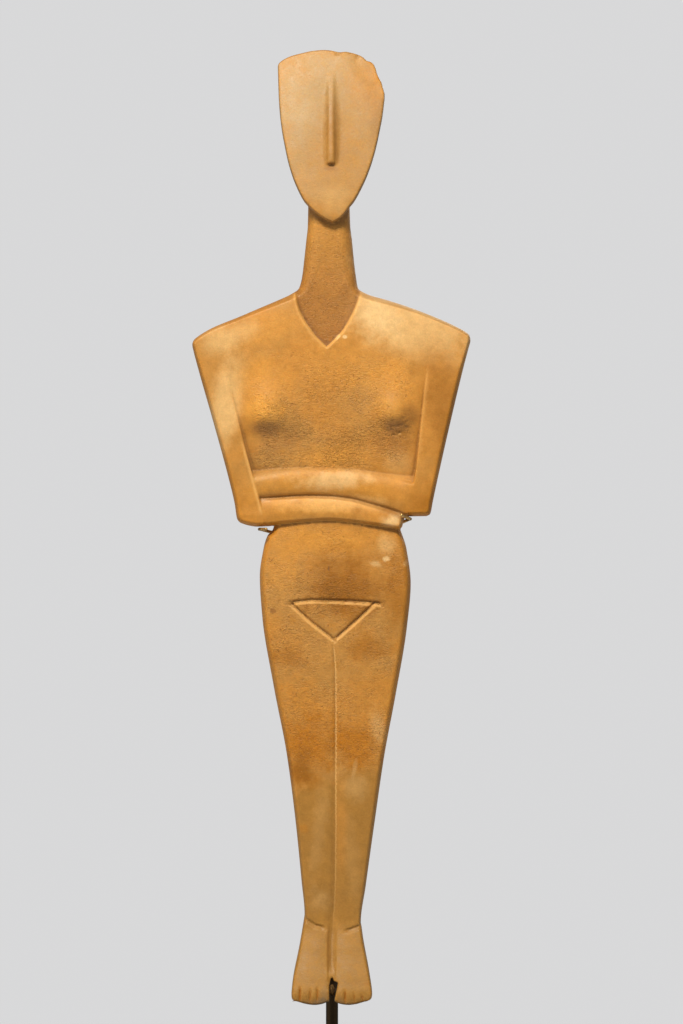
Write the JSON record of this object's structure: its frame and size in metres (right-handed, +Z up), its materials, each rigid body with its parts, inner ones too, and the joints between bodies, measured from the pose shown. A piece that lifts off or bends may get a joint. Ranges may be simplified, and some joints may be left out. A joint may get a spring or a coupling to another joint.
{
  "type": "cycladic figurine on a stand",
  "caption": "Flat standing marble figure with folded arms, long neck and tilted three-sided head, held upright by wire claws on a rod and a base block.",
  "frame": {"origin": "middle of the underside of the stand's base block, on the surface that it stands on", "axes": "+Z up, the figure faces -Y, +X to the right of someone looking at its face"},
  "size_m": [0.13, 0.1, 0.434],
  "materials": {
    "marble": "worn, satin, honey-brown patina with fine pitting",
    "claw_brass": "hand-bent wire, rubbed bright",
    "rod_brass": "darkened, satin",
    "base_paint": "dark grey, matt"
  },
  "bodies": {
    "root": {"figurine": "marble", "elbow_claw_left": "claw_brass", "elbow_claw_right": "claw_brass", "foot_claw": "claw_brass", "stand_rod": "rod_brass", "stand_base": "base_paint"}
  },
  "joints": []
}
